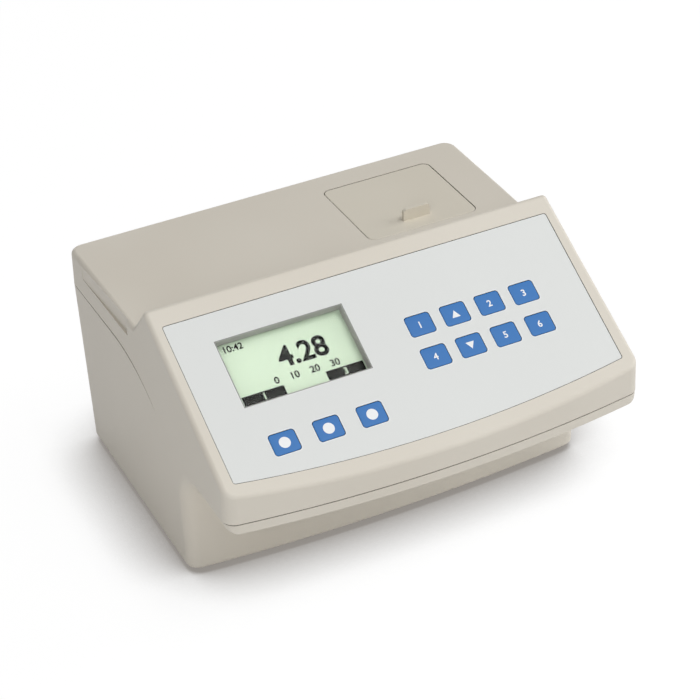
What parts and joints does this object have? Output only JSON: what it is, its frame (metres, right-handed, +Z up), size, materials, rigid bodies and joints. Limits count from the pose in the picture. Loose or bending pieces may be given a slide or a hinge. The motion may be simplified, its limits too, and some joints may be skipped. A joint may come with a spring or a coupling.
{
  "type": "turbidity meter",
  "caption": "Bench meter for the cloudiness of water: sloping head with display and keys, hinged lid over a light-tight sample well, moulded casing.",
  "frame": {"origin": "on the table top under the middle of the whole meter", "axes": "+X to the right seen from the keys, +Y to the rear, +Z up"},
  "size_m": [0.2298, 0.2087, 0.1401],
  "materials": {
    "casing_plastic": "fine textured",
    "overlay_film": "fine matt film",
    "key_blue": "satin",
    "black_foam": "open cell foam",
    "black_plastic": "satin",
    "black_aluminium": "black anodised",
    "optical_glass": "polished",
    "lamp_resin": "clear tinted",
    "detector_can": "plated",
    "circuit_board": "solder mask",
    "zinc_steel": "zinc plated",
    "clear_window": "polished",
    "tinned_steel": "tinned",
    "display_glass": "polarised",
    "white_plastic": "diffusing",
    "ribbon_film": "flexible film",
    "foot_rubber": "soft",
    "steel_pin": "ground"
  },
  "bodies": {
    "casing": {"beam_lenses": "optical_glass", "board_components": "black_plastic", "board_screws": "zinc_steel", "case_screws": "zinc_steel", "detector_holders": "black_plastic", "detectors": "detector_can", "display_backlight": "white_plastic", "display_board": "circuit_board", "display_frame": "tinned_steel", "display_glass": "display_glass", "display_ribbon": "ribbon_film", "display_screws": "zinc_steel", "display_window": "clear_window", "feet": "foot_rubber", "front_overlay": "overlay_film", "key_domes": "tinned_steel", "keypad_board": "circuit_board", "keypad_ribbon": "ribbon_film", "lamp": "lamp_resin", "lamp_holder": "black_plastic", "lid_pin": "steel_pin", "lower_casing": "casing_plastic", "main_board": "circuit_board", "optical_block": "black_aluminium", "optics_screws": "zinc_steel", "power_jack": "black_plastic", "sensor_boards": "circuit_board", "switch_body": "black_plastic", "upper_casing": "casing_plastic", "usb_socket": "tinned_steel", "well_collar": "black_plastic"},
    "lid": {"sample_lid": "casing_plastic", "light_seal": "black_foam"},
    "rocker": {"power_rocker": "black_plastic"},
    "upper_key_1_body": {"upper_key_1": "key_blue"},
    "up_key_body": {"up_key": "key_blue"},
    "upper_key_3_body": {"upper_key_3": "key_blue"},
    "upper_key_4_body": {"upper_key_4": "key_blue"},
    "lower_key_1_body": {"lower_key_1": "key_blue"},
    "down_key_body": {"down_key": "key_blue"},
    "lower_key_3_body": {"lower_key_3": "key_blue"},
    "lower_key_4_body": {"lower_key_4": "key_blue"},
    "left_soft_key_body": {"left_soft_key": "key_blue"},
    "middle_soft_key_body": {"middle_soft_key": "key_blue"},
    "right_soft_key_body": {"right_soft_key": "key_blue"}
  },
  "joints": [
    {"name": "lid_hinge", "type": "hinge", "parent": "casing", "child": "lid", "pos_m": [0.0582, 0.07675, 0.1198], "axis": [-1, 0, 0], "range_deg": [0, 105]},
    {"name": "upper_key_1_press", "type": "slide", "parent": "casing", "child": "upper_key_1_body", "axis": [0, 0.4955, -0.8686], "range_m": [0, 0.0005], "stiffness_N_per_m": 400, "springref_m": -0.001},
    {"name": "up_key_press", "type": "slide", "parent": "casing", "child": "up_key_body", "axis": [0, 0.4955, -0.8686], "range_m": [0, 0.0005], "stiffness_N_per_m": 400, "springref_m": -0.001},
    {"name": "upper_key_3_press", "type": "slide", "parent": "casing", "child": "upper_key_3_body", "axis": [0, 0.4955, -0.8686], "range_m": [0, 0.0005], "stiffness_N_per_m": 400, "springref_m": -0.001},
    {"name": "upper_key_4_press", "type": "slide", "parent": "casing", "child": "upper_key_4_body", "axis": [0, 0.4955, -0.8686], "range_m": [0, 0.0005], "stiffness_N_per_m": 400, "springref_m": -0.001},
    {"name": "lower_key_1_press", "type": "slide", "parent": "casing", "child": "lower_key_1_body", "axis": [0, 0.4955, -0.8686], "range_m": [0, 0.0005], "stiffness_N_per_m": 400, "springref_m": -0.001},
    {"name": "down_key_press", "type": "slide", "parent": "casing", "child": "down_key_body", "axis": [0, 0.4955, -0.8686], "range_m": [0, 0.0005], "stiffness_N_per_m": 400, "springref_m": -0.001},
    {"name": "lower_key_3_press", "type": "slide", "parent": "casing", "child": "lower_key_3_body", "axis": [0, 0.4955, -0.8686], "range_m": [0, 0.0005], "stiffness_N_per_m": 400, "springref_m": -0.001},
    {"name": "lower_key_4_press", "type": "slide", "parent": "casing", "child": "lower_key_4_body", "axis": [0, 0.4955, -0.8686], "range_m": [0, 0.0005], "stiffness_N_per_m": 400, "springref_m": -0.001},
    {"name": "left_soft_key_press", "type": "slide", "parent": "casing", "child": "left_soft_key_body", "axis": [0, 0.4955, -0.8686], "range_m": [0, 0.0005], "stiffness_N_per_m": 400, "springref_m": -0.001},
    {"name": "middle_soft_key_press", "type": "slide", "parent": "casing", "child": "middle_soft_key_body", "axis": [0, 0.4955, -0.8686], "range_m": [0, 0.0005], "stiffness_N_per_m": 400, "springref_m": -0.001},
    {"name": "right_soft_key_press", "type": "slide", "parent": "casing", "child": "right_soft_key_body", "axis": [0, 0.4955, -0.8686], "range_m": [0, 0.0005], "stiffness_N_per_m": 400, "springref_m": -0.001},
    {"name": "power_rocker_tilt", "type": "hinge", "parent": "casing", "child": "rocker", "pos_m": [-0.084, 0.09875, 0.06], "axis": [1, 0, 0], "range_deg": [0, 14]}
  ]
}
